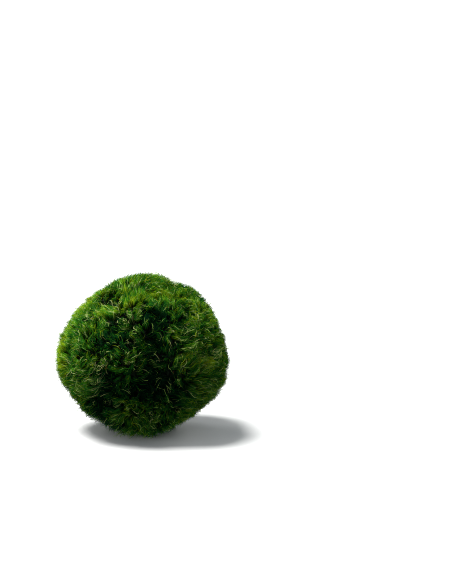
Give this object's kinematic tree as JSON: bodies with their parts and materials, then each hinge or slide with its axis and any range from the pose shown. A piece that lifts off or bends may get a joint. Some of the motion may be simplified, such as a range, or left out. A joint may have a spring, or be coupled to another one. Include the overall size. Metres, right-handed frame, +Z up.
{
  "type": "marimo moss ball",
  "caption": "Lumpy round ball of velvety green filamentous alga for a freshwater aquarium, resting on a small flat spot.",
  "frame": {"origin": "on the ground, under the middle of the ball's bounding box, inside the small flat spot it rests on", "axes": "+Z up, -Y the front that faces the viewer, +X to the viewer's right"},
  "size_m": [0.05, 0.0486, 0.0464],
  "materials": {
    "moss": "wet velvety filaments"
  },
  "bodies": {
    "root": {"moss_ball": "moss"}
  },
  "joints": []
}
